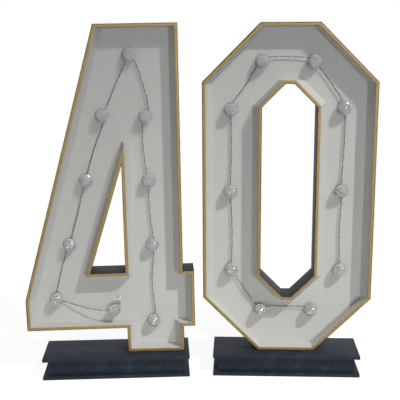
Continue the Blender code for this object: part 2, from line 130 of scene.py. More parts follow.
zero_cable_hole_radius = 0.005
four_loose_light_lift = 0.012
four_loose_light_tilt = math.radians(35)
four_loose_light_turn = math.radians(50)
zero_case_shift = 0.010
four_case_shift = 0.185
case_height = 0.0497
lead_height = 0.007
lead_rise = 0.020

# Finer sizes and counts, seen only in the finish
arris_radius = 0.0012
arris_steps = 4
bead_width = 0.021
narrow_bead_width = 0.011
bead_rise = 0.047
bead_sag = 0.0008
bead_steps = 8
bead_gap = 0.0001
sharpest_mitre = math.radians(40)
lens_flange = 0.0025
lens_lip_radius = 0.0246
lens_mouth_radius = 0.0215
lens_rim_heights = (0.0003, 0.0006, 0.0016)
lens_dome_radius = 0.0243
lens_relief = 0.0014
lens_sides = 16
lens_rows = 13
lens_first_row = 0.04
lens_hollow = (0.88, 0.90)
collar_ribs = 16
collar_rib_depth = 0.0006
merge_distance = 0.000002
route_parts = 24
route_step = 0.0022
strand_radius = 0.001
strand_sides = 7
twist_pitch = 0.044

# Profiles of a socket's parts as (radius, height), the dish's and the lamp's from the lens's foot
collar_profile = (
    (0, fit_gap), (0.0110, fit_gap), (0.0124, 0.0042), (0.0142, 0.0084),
    (0.0160, 0.0126), (0.0160, socket_height), (0, socket_height),
)
dish_profile = (
    (0, 0.0010), (0.0120, 0.0012), (0.0196, 0.0044), (0.0206, 0.0040), (0.0205, 0.0004), (0, 0.0004),
)
lamp_profile = ((0, 0.0009), (0.0035, 0.0009), (0.0035, 0.0030), (0.0028, 0.0042), (0, 0.0046))

# Sizes that follow
seat_height = 2 * plinth_board_thickness + plinth_block_height + 3 * fit_gap
lens_foot = socket_height + 2 * fit_gap
panel_back = panel_setback + panel_thickness
stem_half = stroke_width / 2
zero_width = zero_eye_width + 2 * stroke_width
four_plinth_shift = plinth_width / 2 - stem_half - four_plinth_margin
eye_floor = four_foot_height + four_beam_height


# Outlines: arrays of (x, z) corners, anticlockwise as seen from the front

def zero_eye():
    """The zero's octagonal eye, anticlockwise from the right end of its level bottom edge."""
    side, end = zero_eye_width / 2, zero_eye_flat / 2
    floor, ceiling = stroke_width, digit_height - stroke_width
    cut = side - end
    right = [(end, floor), (side, floor + cut), (side, ceiling - cut), (end, ceiling)]
    left = [(-x, z) for x, z in reversed(right)]
    return np.array(right + left) + (0, seat_height)


def four_eye():
    """The four's triangular eye, between its stem, its beam and its sloped stroke."""
    corners = [
        (-stem_half - four_eye_width, eye_floor),
        (-stem_half, eye_floor),
        (-stem_half, eye_floor + four_eye_height),
    ]
    return np.array(corners) + (0, seat_height)


def four_outline():
    """The four's outline, anticlockwise from the right end of its foot, which is cut to sit flat."""
    arm = stem_half + four_arm_reach
    tip = -stem_half - four_beam_reach
    level = seat_height / math.cos(four_lean) - seat_height
    slant = stem_half * math.tan(four_lean)
    corners = [
        (stem_half, level - slant),
        (stem_half, four_foot_height),
        (arm, four_foot_height),
        (arm, eye_floor),
        (stem_half, eye_floor),
        (stem_half, digit_height),
        (stem_half - four_top_width, digit_height),
        (tip, four_foot_height + four_beam_end_height),
        (tip, four_foot_height),
        (-stem_half, four_foot_height),
        (-stem_half, level + slant),
    ]
    return np.array(corners) + (0, seat_height)


def crossings(outline, k, before, after):
    """Where the edges on both sides of corner k cross, once moved in by before and by after.

    With unit directions p and q of the edge before and the edge after, the corner moves by
    (before * q - after * p) / (p x q). The amounts may be arrays, and the result is one row for each.
    """
    behind = outline[k] - outline[k - 1]
    ahead = outline[(k + 1) % len(outline)] - outline[k]
    p, q = behind / np.linalg.norm(behind), ahead / np.linalg.norm(ahead)
    before, after = np.atleast_1d(before)[:, None], np.atleast_1d(after)[:, None]
    return outline[k] + (before * q - after * p) / (p[0] * q[1] - p[1] * q[0])


def move_edges(outline, inset):
    """The outline with every edge moved in by inset, or out where it is negative."""
    return np.concatenate([crossings(outline, k, inset, inset) for k in range(len(outline))])


zero_rim = move_edges(zero_eye(), -stroke_width)
four_rim = four_outline()
zero_edge_names = ("lower_right", "right", "upper_right", "top", "upper_left", "left", "lower_left", "bottom")
four_edge_names = (
    "foot_right", "arm_bottom", "arm_end", "arm_top", "right", "top",
    "slope", "beam_end", "beam_bottom", "foot_left", "foot_bottom",
)

# Widths of the beads of filler, by the name of the edge, or by its number round an eye
zero_beaded = {
    "right": bead_width,
    "upper_right": narrow_bead_width,
    "upper_left": narrow_bead_width,
    "left": bead_width,
}
four_beaded = dict.fromkeys(("foot_right", "arm_end", "right", "slope", "beam_end", "foot_left"), bead_width)
zero_eye_beaded = dict.fromkeys((0, 1, 2, 5, 6), bead_width) | {4: narrow_bead_width}
four_eye_beaded = {1: bead_width, 2: narrow_bead_width}


# Frames of the digits and of their lights

def frame_of(digit_name, shift, turn, lean):
    """A digit's frame, from the middle of its plinth's base, its turn in and its lean."""
    low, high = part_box(f"{digit_name}_plinth_base")
    middle = (low + high) / 2
    stand = Matrix.Rotation(turn, 4, "Z")
    own_middle = Vector((-shift, plinth_depth / 2 - plinth_front_margin, 0))
    spot = Vector((middle.x, middle.y, 0)) - stand @ own_middle
    return Matrix.Translation(spot) @ stand @ Matrix.Rotation(-lean, 4, "Y")


four_stand = frame_of("four", four_plinth_shift, toe_in, 0)
four_frame = frame_of("four", four_plinth_shift, toe_in, four_lean)
zero_frame = frame_of("zero", 0, -toe_in, 0)
upright = Matrix.Rotation(math.radians(90), 4, "X")


def placed(place, points):
    """Points, an array whose last axis is x, y, z, carried by a frame."""
    turn = np.array(place.to_3x3())
    return points @ turn.T + np.array(place.to_translation())


def light_place(x, height, lift=0.0):
    """The frame of a light: its origin lift off the panel, its z axis towards the front."""
    return Matrix.Translation((x, panel_setback - lift, height + seat_height)) @ upright


def beam_spot(shares):
    """A spot on the four's beam, as shares of the beam's reach to the left and of its height."""
    left, up = shares
    return -stem_half - four_beam_reach * left, four_foot_height + four_beam_height * up


def slope_middle(height):
    """The middle line of the four's sloped stroke at a height above its foot."""
    low = four_foot_height + four_beam_end_height
    lean = (four_beam_reach + stroke_width - four_top_width) / (digit_height - low)
    half = stem_half * math.hypot(1, lean)
    return -stem_half - four_beam_reach + lean * max(height - low, 0) + half


def zero_lights():
    """The zero's light frames, in the order of its cord: up the right side, over, and down."""
    side = zero_width / 2 - stem_half
    return [light_place(side * across, digit_height * up) for across, up in zero_light_shares]


def four_loose_light():
    """The four's first light, which hangs forward off the panel and leans down to the right."""
    lean_axis = Matrix.Rotation(four_loose_light_turn, 3, "Y") @ Vector((0, 0, 1))
    lean = Matrix.Rotation(four_loose_light_tilt, 4, lean_axis)
    foot = light_place(*beam_spot(four_loose_light_shares), four_loose_light_lift)
    spot = foot.to_translation()
    return Matrix.Translation(spot) @ lean @ Matrix.Translation(-spot) @ foot


def four_lights():
    """The four's light frames, in the order of its cord: from the beam up the slope and down the stem."""
    beam_light = four_foot_height + four_beam_height * four_beam_end_light_share
    heights = [beam_light] + [digit_height * share for share in four_slope_light_shares]
    spots = [(slope_middle(height), height) for height in heights]
    across, up = four_top_light_shares
    top = digit_height * up
    spots.append((slope_middle(top) * across, top))
    spots += [(stem_half * share, digit_height * rise) for share, rise in four_stem_light_shares]
    return [four_loose_light()] + [light_place(x, height) for x, height in spots]


# Meshes: grids of points, joined into closed skins

def grid_faces(rows, columns):
    """Four corner numbers for each cell of a grid of points."""
    r, c = np.meshgrid(np.arange(rows - 1), np.arange(columns - 1), indexing="ij")
    cells = (r * columns + c, r * columns + c + 1, (r + 1) * columns + c + 1, (r + 1) * columns + c)
    return np.stack(cells, axis=-1).reshape(-1, 4)


def measured(points):
    """Distances in metres along a grid's rows and along its columns, for its pattern coordinates."""
    steps_along = np.linalg.norm(np.diff(points.mean(axis=1), axis=0), axis=1)
    steps_round = np.linalg.norm(np.diff(points[0], axis=0), axis=1)
    along = np.concatenate([[0], np.cumsum(steps_along)])
    around = np.concatenate([[0], np.cumsum(steps_round)])
    return np.stack(np.broadcast_arrays(along[:, None], around[None, :]), axis=-1)


class Skin:
    """Surfaces gathered into one mesh: corners, faces, pattern coordinates and the paint on each face."""

    def __init__(self):
        self.points, self.patterns, self.faces, self.paints = [], [], [], []
        self.count = 0

    def keep(self, points, pattern, faces, paints):
        """Take in one surface's points and faces, numbered on from what is there."""
        self.points.append(points.reshape(-1, 3))
        self.patterns.append(pattern.reshape(-1, 2))
        self.faces += (np.asarray(faces) + self.count).tolist()
        self.paints += list(paints)

    def grid(self, points, paints=0, caps=False):
        """Add a grid of points (rows, columns, 3), whose seam, if it has one, is a column given twice.

        paints is one number, or one for each strip between two columns. Caps close both ends.
        """
        rows, columns = points.shape[:2]
        across = np.broadcast_to(np.asarray(paints), columns - 1)
        self.keep(points, measured(points), grid_faces(rows, columns), np.tile(across, rows - 1).tolist())
        if caps:
            ring = np.arange(columns - 1)
            self.faces += [(ring + self.count).tolist(), (ring + self.count + (rows - 1) * columns).tolist()]
            self.paints += [int(across[0])] * 2
        self.count += rows * columns

    def faceted(self, rings):
        """Add rings of points (rings, sides, 3), each half a side round from the last, as triangles."""
        rows, sides = rings.shape[:2]
        r, side = np.meshgrid(np.arange(rows - 1), np.arange(sides), indexing="ij")
        here, onward = r * sides + side, r * sides + (side + 1) % sides
        above = (r + 1) * sides + (side + r % 2) % sides
        beyond = (r + 1) * sides + (side + r % 2 - 1) % sides
        up = np.stack([here, onward, above], axis=-1).reshape(-1, 3)
        down = np.stack([here, above, beyond], axis=-1).reshape(-1, 3)
        self.keep(rings, measured(rings), np.concatenate([up, down]), [0] * (2 * len(up)))
        self.count += rows * sides

    def piece(self, name, place, paints, sharp=math.radians(35)):
        """The mesh object: placed, doubles merged, faces outward, smooth but for edges past the angle sharp.

        It is flat between all its edges where sharp is None.
        """
        mesh = bpy.data.meshes.new(name)
        points = placed(place, np.concatenate(self.points))
        mesh.from_pydata(points.tolist(), [], self.faces)
        for paint in paints:
            mesh.materials.append(paint)
        mesh.polygons.foreach_set("material_index", np.array(self.paints, dtype=np.int32))
        corners = np.zeros(len(mesh.loops), dtype=np.int32)
        mesh.loops.foreach_get("vertex_index", corners)
        pattern = mesh.uv_layers.new(name="pattern")
        pattern.data.foreach_set("uv", np.concatenate(self.patterns)[corners].ravel())
        shape = bmesh.new()
        shape.from_mesh(mesh)
        bmesh.ops.remove_doubles(shape, verts=shape.verts, dist=merge_distance)
        bmesh.ops.recalc_face_normals(shape, faces=shape.faces)
        shape.to_mesh(mesh)
        shape.free()
        if sharp:
            mesh.shade_smooth()
            mesh.set_sharp_from_angle(angle=sharp)
        thing = bpy.data.objects.new(name, mesh)
        bpy.context.scene.collection.objects.link(thing)
        return thing


def finished(thing, body, slot, *nodes):
    """Let the piece ride on a body and hide the CAD nodes that it stands for. The slot is not used."""
    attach(thing, body)
    if nodes:
        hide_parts(*nodes)


# Materials

colours = {"data_type": "RGBA"}


def hex_colour(code):
    """An sRGB hex colour such as "#28323f" as linear RGBA."""
    levels = np.array([int(code[k : k + 2], 16) for k in (1, 3, 5)]) / 255
    linear = np.where(levels <= 0.04045, levels / 12.92, ((levels + 0.055) / 1.055) ** 2.4)
    return (*linear.tolist(), 1.0)


def new_material(name):
    """A new material and its Principled shader."""
    material = bpy.data.materials.new(name)
    material.use_nodes = True
    return material, material.node_tree.nodes["Principled BSDF"]


def feed(material, made, **inputs):
    """Set a node's inputs, each to a value, a hex colour or an output that it is linked to.

    An input's name has _ for a space, or is in_0, in_1 and so on for a socket by its number.
    """
    for key, value in inputs.items():
        socket = made.inputs[int(key[3:])] if key.startswith("in_") else made.inputs[key.replace("_", " ")]
        if isinstance(value, bpy.types.NodeSocket):
            material.node_tree.links.new(value, socket)
        else:
            socket.default_value = hex_colour(value) if isinstance(value, str) else value


def node(material, kind, settings=None, **inputs):
    """Add a node of a kind to a material or a world, with its settings and its inputs."""
    made = material.node_tree.nodes.new(kind)
    for key, value in (settings or {}).items():
        setattr(made, key, value)
    feed(material, made, **inputs)
    return made


def navy_satin_paint():
    """Satin acrylic paint, brushed on boards: a blue that is nearly black, with a low sheen.

    The eye sees soft lines along each board where the brush went, and paler spots where it is
    rubbed. Brush lines are 1.5 mm apart, and drawn out over 150 mm.
    """
    material, shader = new_material("navy_satin_paint")
    pattern = node(material, "ShaderNodeUVMap", {"uv_map": "pattern"}).outputs["UV"]
    drawn_out = node(material, "ShaderNodeMapping", Vector=pattern, Scale=(1 / 0.150, 1 / 0.0015, 1))
    lines = node(material, "ShaderNodeTexNoise", Vector=drawn_out.outputs["Vector"], Scale=1.0, Detail=3.0)
    clouds = node(material, "ShaderNodeTexNoise", Vector=pattern, Scale=1 / 0.060, Detail=4.0)
    rubbed = node(material, "ShaderNodeMapRange", Value=clouds.outputs["Fac"], From_Min=0.52, From_Max=0.72)
    brushed = node(
        material, "ShaderNodeMix", colours, in_0=lines.outputs["Fac"], in_6="#19212a", in_7="#262f3b"
    )
    worn = node(
        material, "ShaderNodeMix", colours,
        in_0=rubbed.outputs["Result"], in_6=brushed.outputs[2], in_7="#303a48",
    )
    gloss = node(material, "ShaderNodeMapRange", Value=lines.outputs["Fac"], To_Min=0.58, To_Max=0.74)
    ridges = node(material, "ShaderNodeBump", Height=lines.outputs["Fac"], Strength=0.35, Distance=0.0003)
    feed(material, shader, Base_Color=worn.outputs[2], Roughness=gloss.outputs["Result"])
    feed(material, shader, Specular_IOR_Level=0.2, Normal=ridges.outputs["Normal"])
    return material


def gold_paint():
    """Gold paint brushed along the front edges: mica flakes in a lacquer, more satin than metal.

    The eye sees a dull yellow brown that turns paler and darker along the edge with the brush.
    The outer arris is worn to a ragged dark line, and small dark spots show where the paint is
    chipped to the navy coat under it.
    """
    material, shader = new_material("brushed_gold_paint")
    pattern = node(material, "ShaderNodeUVMap", {"uv_map": "pattern"}).outputs["UV"]
    drawn_out = node(material, "ShaderNodeMapping", Vector=pattern, Scale=(1 / 0.080, 1 / 0.0020, 1))
    strokes = node(material, "ShaderNodeTexNoise", Vector=drawn_out.outputs["Vector"], Scale=1.0, Detail=4.0)
    squeezed = node(material, "ShaderNodeMapping", Vector=pattern, Scale=(1 / 0.012, 1 / 0.005, 1))
    chips = node(material, "ShaderNodeTexNoise", Vector=squeezed.outputs["Vector"], Scale=1.0, Detail=5.0)
    spots = node(material, "ShaderNodeMapRange", Value=chips.outputs["Fac"], From_Min=0.71, From_Max=0.74)
    round_edge = node(material, "ShaderNodeSeparateXYZ", Vector=pattern)
    ragged = node(
        material, "ShaderNodeMapRange",
        Value=chips.outputs["Fac"], From_Min=0.3, From_Max=0.7, To_Min=-0.0016, To_Max=0.0016,
    )
    reach = node(
        material, "ShaderNodeMath", {"operation": "SUBTRACT"},
        in_0=round_edge.outputs["Y"], in_1=ragged.outputs["Result"],
    )
    worn = node(
        material, "ShaderNodeMapRange",
        Value=reach.outputs["Value"], From_Min=0.0034, From_Max=0.0042, To_Min=1.0, To_Max=0.0,
    )
    chipped = node(
        material, "ShaderNodeMath", {"operation": "MAXIMUM"},
        in_0=spots.outputs["Result"], in_1=worn.outputs["Result"],
    )
    brushed = node(
        material, "ShaderNodeMix", colours, in_0=strokes.outputs["Fac"], in_6="#7b6435", in_7="#ae9256"
    )
    base = node(
        material, "ShaderNodeMix", colours,
        in_0=chipped.outputs["Value"], in_6=brushed.outputs[2], in_7="#3a352f",
    )
    shine = node(material, "ShaderNodeMapRange", Value=chipped.outputs["Value"], To_Min=0.35, To_Max=0.0)
    ridges = node(material, "ShaderNodeBump", Height=strokes.outputs["Fac"], Strength=0.4, Distance=0.0003)
    feed(material, shader, Base_Color=base.outputs[2], Metallic=shine.outputs["Result"])
    feed(material, shader, Roughness=0.48, Normal=ridges.outputs["Normal"])
    return material


def emulsion(material, shader, spot):
    """Roll matt white emulsion on: no gloss, and a stipple 3 mm across under soft clouds of colour.

    The result is the paint's colour, to link to the shader.
    """
    clouds = node(material, "ShaderNodeTexNoise", Vector=spot, Scale=1 / 0.180, Detail=3.0)
    stipple = node(material, "ShaderNodeTexNoise", Vector=spot, Scale=1 / 0.0030, Detail=3.0)
    colour = node(
        material, "ShaderNodeMix", colours, in_0=clouds.outputs["Fac"], in_6="#c8c8c5", in_7="#cececb"
    )
    bumps = node(material, "ShaderNodeBump", Height=stipple.outputs["Fac"], Strength=0.30, Distance=0.0006)
    feed(material, shader, Roughness=0.75, Specular_IOR_Level=0.3, Normal=bumps.outputs["Normal"])
    return colour.outputs[2]


def white_emulsion():
    """Matt white emulsion, rolled on the tray's walls and beads: no gloss, a slight orange peel."""
    material, shader = new_material("matt_white_emulsion")
    spot = node(material, "ShaderNodeTexCoord").outputs["Object"]
    feed(material, shader, Base_Color=emulsion(material, shader, spot))
    return material


def painted_panel(name, place, hole, hole_radius):
    """A hardboard panel: matt white emulsion in front, bare brown edges, navy at the back.

    Which side a face is on comes from its normal. The bare board also shows as a thin pale
    ring where the drill broke the paint round the cable hole.
    """
    material, shader = new_material(name)
    spot = node(material, "ShaderNodeTexCoord")
    own = node(
        material, "ShaderNodeMapping", {"vector_type": "TEXTURE"},
        Vector=spot.outputs["Object"], Location=place @ Vector((hole[0], panel_setback, hole[1])),
        Rotation=place.to_euler(),
    )
    paint = emulsion(material, shader, spot.outputs["Object"])
    flat = node(
        material, "ShaderNodeVectorMath", {"operation": "MULTIPLY"},
        in_0=own.outputs["Vector"], in_1=(1, 0, 1),
    )
    reach = node(material, "ShaderNodeVectorMath", {"operation": "LENGTH"}, in_0=flat.outputs["Vector"])
    ragged = node(
        material, "ShaderNodeTexNoise", Vector=spot.outputs["Object"], Scale=1 / 0.004, Detail=3.0
    )
    wobble = node(
        material, "ShaderNodeMapRange", Value=ragged.outputs["Fac"], To_Min=-0.0025, To_Max=0.0025
    )
    edge = node(
        material, "ShaderNodeMath", {"operation": "ADD"},
        in_0=reach.outputs["Value"], in_1=wobble.outputs["Result"],
    )
    broken = node(
        material, "ShaderNodeMapRange",
        Value=edge.outputs["Value"], From_Min=hole_radius + 0.0012, From_Max=hole_radius + 0.0032,
        To_Min=0.75, To_Max=0.0,
    )
    facing = node(
        material, "ShaderNodeVectorMath", {"operation": "DOT_PRODUCT"},
        in_0=spot.outputs["Normal"], in_1=place.to_3x3() @ Vector((0, -1, 0)),
    ).outputs["Value"]
    in_front = node(material, "ShaderNodeMath", {"operation": "GREATER_THAN"}, in_0=facing, in_1=0.5)
    behind = node(material, "ShaderNodeMath", {"operation": "LESS_THAN"}, in_0=facing, in_1=-0.5)
    front = node(
        material, "ShaderNodeMix", colours, in_0=broken.outputs["Result"], in_6=paint, in_7="#d3ccb0"
    )
    edges = node(
        material, "ShaderNodeMix", colours,
        in_0=in_front.outputs["Value"], in_6="#9a8b6a", in_7=front.outputs[2],
    )
    base = node(
        material, "ShaderNodeMix", colours,
        in_0=behind.outputs["Value"], in_6=edges.outputs[2], in_7="#28303c",
    )
    feed(material, shader, Base_Color=base.outputs[2])
    return material


def translucent_polycarbonate():
    """Moulded translucent polycarbonate: a milky grey cap that light sinks into.

    The eye sees the pale panel through it a little darkened, with small bright glints where its
    facets catch the lamps. Its shadow lets a little of the lamps through.
    """
    material, shader = new_material("translucent_polycarbonate")
    spot = node(material, "ShaderNodeTexCoord").outputs["Object"]
    scuffs = node(material, "ShaderNodeTexNoise", Vector=spot, Scale=1 / 0.002, Detail=4.0)
    gloss = node(material, "ShaderNodeMapRange", Value=scuffs.outputs["Fac"], To_Min=0.07, To_Max=0.16)
    colour = node(
        material, "ShaderNodeMix", colours, in_0=scuffs.outputs["Fac"], in_6="#dddede", in_7="#e9eaea"
    )
    feed(material, shader, Base_Color=colour.outputs[2], Roughness=gloss.outputs["Result"])
    feed(material, shader, Transmission_Weight=0.75, IOR=1.58)
    shade = node(material, "ShaderNodeBsdfTransparent", Color="#2c2d2c")
    ray = node(material, "ShaderNodeLightPath")
    mixed = node(
        material, "ShaderNodeMixShader",
        in_0=ray.outputs["Is Shadow Ray"], in_1=shader.outputs["BSDF"], in_2=shade.outputs["BSDF"],
    )
    feed(material, material.node_tree.nodes["Material Output"], Surface=mixed.outputs["Shader"])
    return material


def moulded_plastic(name, low, high, roughness, grain):
    """A moulded plastic: one colour that wanders a little, over a fine spark-eroded grain of that size."""
    material, shader = new_material(name)
    spot = node(material, "ShaderNodeTexCoord").outputs["Object"]
    clouds = node(material, "ShaderNodeTexNoise", Vector=spot, Scale=1 / 0.012, Detail=2.0)
    pits = node(material, "ShaderNodeTexNoise", Vector=spot, Scale=1 / grain, Detail=2.0)
    colour = node(material, "ShaderNodeMix", colours, in_0=clouds.outputs["Fac"], in_6=low, in_7=high)
    bumps = node(material, "ShaderNodeBump", Height=pits.outputs["Fac"], Strength=0.25, Distance=grain / 4)
    feed(material, shader, Base_Color=colour.outputs[2], Normal=bumps.outputs["Normal"], Roughness=roughness)
    return material


def bare_wood():
    """A bare wooden plug: pale, dry and matt, with faint lines of grain across its end 1 mm apart."""
    material, shader = new_material("bare_pale_wood")
    spot = node(material, "ShaderNodeTexCoord").outputs["Object"]
    grain = node(
        material, "ShaderNodeTexWave", {"wave_type": "BANDS", "bands_direction": "DIAGONAL"},
        Vector=spot, Scale=0.31 / 0.001, Distortion=3.0, Detail=2.0,
    )
    colour = node(
        material, "ShaderNodeMix", colours, in_0=grain.outputs["Fac"], in_6="#b9b292", in_7="#d0cbb3"
    )
    feed(material, shader, Base_Color=colour.outputs[2], Roughness=0.8)
    return material


navy = navy_satin_paint()
gold = gold_paint()
white = white_emulsion()
lens_plastic = translucent_polycarbonate()
cord_plastic = moulded_plastic("dark_pvc_sleeving", "#343636", "#4a4c4c", 0.30, 0.0008)
pale_cord_plastic = moulded_plastic("pale_pvc_sleeving", "#a3a4a2", "#b5b6b4", 0.25, 0.0008)
socket_plastic = moulded_plastic("dark_moulded_nylon", "#3a3a3a", "#454545", 0.50, 0.0006)
dish_plastic = moulded_plastic("pale_moulded_nylon", "#c0c1c0", "#cacbca", 0.40, 0.0006)
lamp_resin = moulded_plastic("pale_lamp_resin", "#9c978a", "#aaa598", 0.35, 0.0005)
case_plastic = moulded_plastic("white_moulded_abs", "#cfcfc9", "#d8d8d3", 0.45, 0.0005)
sleeve = moulded_plastic("green_shrink_film", "#2c6b45", "#37784f", 0.25, 0.0030)
knob_plastic = moulded_plastic("black_moulded_abs", "#1b1b1c", "#242425", 0.5, 0.0005)
wood = bare_wood()


# Pieces, worked out in the frame of their digit

def board_section():
    """The section of a board on edge, as (inward, depth) points, and the paint on each of its strips.

    A rectangle whose four arrises are quarter circles. It starts on the outer side at the front
    arris and runs round by the front edge and the tray's side, with its first point given again last.
    """
    r, wide, deep = arris_radius, board_thickness, digit_depth
    turn = np.linspace(0, math.pi / 2, arris_steps + 1)
    fall, rise = r * np.cos(turn), r * np.sin(turn)
    outer_front = np.stack([r - fall, r - rise], axis=1)
    inner_front = np.stack([wide - r + rise, r - fall], axis=1)
    panel_lines = np.array([(wide, panel_setback), (wide, panel_back)])
    inner_back = np.stack([wide - r + fall, deep - r + rise], axis=1)
    outer_back = np.stack([r - rise, deep - r + fall], axis=1)
    points = np.concatenate([outer_front, inner_front, panel_lines, inner_back, outer_back, outer_front[:1]])
    navy_paint, gold_edge, white_side = 0, 1, 2
    paints = np.full(len(points) - 1, navy_paint)
    front_end = 2 * arris_steps + 1
    paints[arris_steps - 1 : front_end] = gold_edge
    paints[front_end : front_end + 2] = white_side
    return points, paints


def in_face(flat, depths):
    """Points (x, z) on a digit's face, at their depths behind its front edges."""
    return np.stack([flat[..., 0], np.broadcast_to(depths, flat.shape[:-1]), flat[..., 1]], axis=-1)


def straight_run(outline, k, inward, next_inward, trim=0.0):
    """Both ends of a moulding along edge k: points moved in by inward, mitred with the neighbours' lines.

    next_inward is (before, after): how far in those lines lie. Each end is drawn back by trim.
    """
    after = (k + 1) % len(outline)
    along = outline[after] - outline[k]
    along = along / np.linalg.norm(along) * trim
    start = crossings(outline, k, next_inward[0], inward) + along
    end = crossings(outline, after, inward, next_inward[1]) - along
    return np.stack([start, end])


def edge_boards(digit_name, outline, names, place):
    """The boards round a digit: the section carried along each edge, mitred at both ends.

    Both ends are drawn back alike, so that half of fit_gap is left square to the first mitre.
    """
    section, paints = board_section()
    inward, depth = section.T
    inner = move_edges(outline, board_thickness)
    for k, edge_name in enumerate(names):
        trim = fit_gap / 2 * np.linalg.norm(inner[k] - outline[k]) / board_thickness
        run = straight_run(outline, k, inward, (inward, inward), trim)
        skin = Skin()
        skin.grid(in_face(run, depth), paints, caps=True)
        board = skin.piece(f"{digit_name}_{edge_name}_painted", place, (navy, gold, white))
        finished(board, "sign", "navy_board", f"{digit_name}_{edge_name}_board")


def eye_frame(digit_name, eye, place):
    """The frame round an eye: the board's section carried round it, with its outer side in the eye."""
    section, paints = board_section()
    inward, depth = section.T
    corners = [crossings(eye, k, -inward, -inward) for k in range(len(eye))]
    skin = Skin()
    skin.grid(in_face(np.stack(corners + corners[:1]), depth), paints)
    thing = skin.piece(f"{digit_name}_eye_painted", place, (navy, gold, white))
    finished(thing, "sign", "navy_board", f"{digit_name}_eye_frame")


def bead_section(width):
    """The section of a bead of filler between wall and panel, as (off the wall, off the panel) points.

    It leans from width out on the panel to bead_rise up the wall. Between those ends lies the
    chord, drawn towards the corner by bead_sag times 4 t (1 - t).
    """
    t = np.linspace(0, 1, bead_steps + 1)
    sag = bead_sag * 4 * t * (1 - t)
    slope = np.stack([bead_gap + width * (1 - t) - sag, bead_gap + bead_rise * t - sag], axis=1)
    corner = np.array([(bead_gap, bead_gap)])
    return np.concatenate([corner, slope, corner])


def square_cut(path, k, edge, inward, wall):
    """Points moved in from an edge by inward, on a line square to it from where walls meet at corner k."""
    ahead = path[(edge + 1) % len(path)] - path[edge]
    square = np.array([-ahead[1], ahead[0]]) / np.linalg.norm(ahead)
    return crossings(path, k, wall[0], wall[0]) + (inward - wall)[:, None] * square


def is_sharp(path, k):
    """Whether the corner is too sharp for a mitre."""
    behind, ahead = path[k] - path[k - 1], path[(k + 1) % len(path)] - path[k]
    return behind @ ahead < -math.cos(sharpest_mitre) * np.linalg.norm(behind) * np.linalg.norm(ahead)


def corner_beads(digit_name, place, outline, beaded, eye, eye_beaded):
    """The beads along a tray's walls and round its eye: mitred where two meet, square at a sharp corner.

    beaded and eye_beaded give the width of the bead along each edge that has one, by its number.
    """
    skin = Skin()
    for path, side, widths in ((outline, 1, beaded), (eye, -1, eye_beaded)):
        off_panel = bead_section(bead_width)[:, 1]
        wall = side * (board_thickness + bead_gap) + 0 * off_panel
        inwards = {k: side * (board_thickness + bead_section(width)[:, 0]) for k, width in widths.items()}
        for k, inward in inwards.items():
            after = (k + 1) % len(path)
            ends = [inwards.get((k + step) % len(path), wall) for step in (-1, 1)]
            run = straight_run(path, k, inward, ends)
            if is_sharp(path, k):
                run[0] = square_cut(path, k, k, inward, wall)
            if is_sharp(path, after):
                run[1] = square_cut(path, after, k, inward, wall)
            skin.grid(in_face(run, panel_setback - off_panel), caps=True)
    beads = skin.piece(f"{digit_name}_corner_beads", place, (white,))
    finished(beads, "sign", "white_panel")


def lens_rings():
    """A lens as rings of (radius, height): its hollow from the crown down, its flange and its dome.

    The dome's rings lie on half an ellipse, and every second one is drawn in by lens_relief, so
    that the facets between them stand out as small pyramids. The hollow is the dome made smaller
    by lens_hollow, the shares of its radius and of its height.
    """
    swing = np.linspace(lens_first_row, 1, lens_rows)[:, None] * math.pi / 2
    dome_size = (lens_dome_radius, lens_height - lens_flange)
    dome = np.concatenate([np.cos(swing), np.sin(swing)], axis=1) * dome_size
    dome[1:-1:2] *= 1 - lens_relief / lens_dome_radius
    dome[:, 1] += lens_flange
    dome[-1, 0] = 0
    hollow = dome[::-2] * lens_hollow
    rim_radii = (lens_mouth_radius, lens_radius, lens_radius)
    rim = list(zip(rim_radii, lens_rim_heights))
    return np.concatenate([hollow, rim, [(lens_lip_radius, lens_flange)], dome])


def lenses(digit_name, lights, place):
    """The faceted lenses: rings of points, each ring half a side round from the last, flat between."""
    radius, height = lens_rings().T[:, :, None]
    half_steps = np.arange(len(radius))[:, None] % 2 / 2
    turn = 2 * math.pi * (np.arange(lens_sides) + half_steps) / lens_sides
    rings = np.stack([radius * np.cos(turn), radius * np.sin(turn), height + 0 * turn], axis=-1)
    seat = Matrix.Translation((0, 0, lens_foot))
    for k, light in enumerate(lights):
        skin = Skin()
        skin.faceted(rings)
        name = f"{digit_name}_lens_{k + 1:02d}"
        lens = skin.piece(f"{name}_faceted", place @ light @ seat, (lens_plastic,), sharp=None)
        finished(lens, "sign", "clear_lens", name)


def turned(profile, sides, ribs=0, rib_depth=0.0):
    """A turned shape: a (radius, height) profile swung round, its radius rippled by cos(ribs * turn)."""
    turn = np.linspace(0, 2 * math.pi, sides + 1)[:, None]
    radius, height = np.array(profile).T[:, None, :]
    reach = radius - rib_depth * (0.5 + 0.5 * np.cos(ribs * turn)) * (radius > 0)
    return np.stack([reach * np.cos(turn), reach * np.sin(turn), height + 0 * reach], axis=-1)


def sockets(digit_name, lights, place):
    """The sockets under the lenses: a ribbed collar, a white dish and a small round lamp in it."""
    collar = turned(collar_profile, sides=48, ribs=collar_ribs, rib_depth=collar_rib_depth)
    dish = turned(np.array(dish_profile) + (0, lens_foot), sides=32)
    bulb = turned(np.array(lamp_profile) + (0, lens_foot), sides=16)
    skin = Skin()
    for light in lights:
        skin.grid(placed(light, collar))
        skin.grid(placed(light, dish), paints=1)
        skin.grid(placed(light, bulb), paints=2)
    thing = skin.piece(f"{digit_name}_sockets", place, (socket_plastic, dish_plastic, lamp_resin))
    finished(thing, "sign", "light_wire")


def inside(light):
    """Where the cord runs inside a light's socket."""
    return light @ Vector((0, 0, wire_height))


